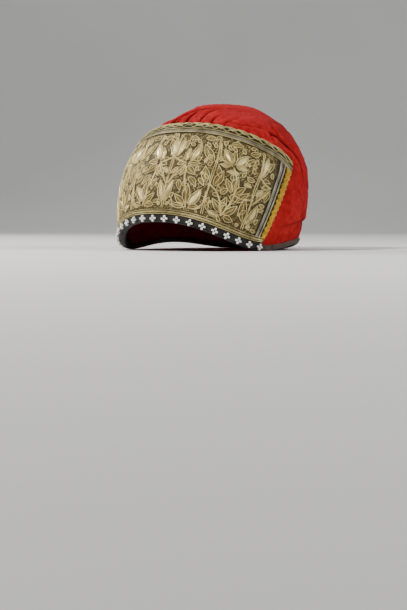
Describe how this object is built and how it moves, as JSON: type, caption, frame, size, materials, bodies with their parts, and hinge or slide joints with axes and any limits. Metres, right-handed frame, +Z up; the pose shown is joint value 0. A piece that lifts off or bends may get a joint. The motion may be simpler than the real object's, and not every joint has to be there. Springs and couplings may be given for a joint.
{
  "type": "kokoshnik",
  "caption": "Folk cap with a stiff embroidered front panel, a cloth crown gathered behind it, lace and braid trim, and a dark band of bead crosses round the brow.",
  "frame": {"origin": "under the middle of the whole cap, on the surface that it stands on", "axes": "+Z up, the brow faces -Y, the wearer's left ear is towards +X"},
  "size_m": [0.1836, 0.2028, 0.144],
  "materials": {
    "crown_cotton": "plain-woven red cotton, matt, gathered",
    "gold_embroidery": "old gold thread embroidery, dense leaves and flowers outlined in cord",
    "metal_lace": "scalloped metal-thread lace, dulled",
    "metal_galloon": "woven silver-grey metal galloon, dulled",
    "gold_cord": "couched gold cords",
    "silk_braid": "yellow silk braid with scalloped edges",
    "dark_ribbon": "worn dark ribbon, matt",
    "binding_tape": "brown-grey binding tape, matt",
    "white_bead": "opaque white glass, glossy"
  },
  "bodies": {
    "root": {"crown": "crown_cotton", "front_panel": "gold_embroidery", "scallop_lace": "metal_lace", "top_band": "metal_galloon", "lower_gimp": "gold_cord", "side_braid_left": "silk_braid", "side_braid_right": "silk_braid", "side_galloon_left": "metal_galloon", "side_galloon_right": "metal_galloon", "bead_band": "dark_ribbon", "back_binding": "binding_tape", "bead_cross_01": "white_bead", "bead_cross_02": "white_bead", "bead_cross_03": "white_bead", "bead_cross_04": "white_bead", "bead_cross_05": "white_bead", "bead_cross_06": "white_bead", "bead_cross_07": "white_bead", "bead_cross_08": "white_bead", "bead_cross_09": "white_bead", "bead_cross_10": "white_bead", "bead_cross_11": "white_bead", "bead_cross_12": "white_bead", "bead_cross_13": "white_bead", "bead_cross_14": "white_bead", "bead_cross_15": "white_bead", "bead_cross_16": "white_bead", "bead_cross_17": "white_bead", "bead_cross_18": "white_bead", "bead_cross_19": "white_bead"}
  },
  "joints": []
}
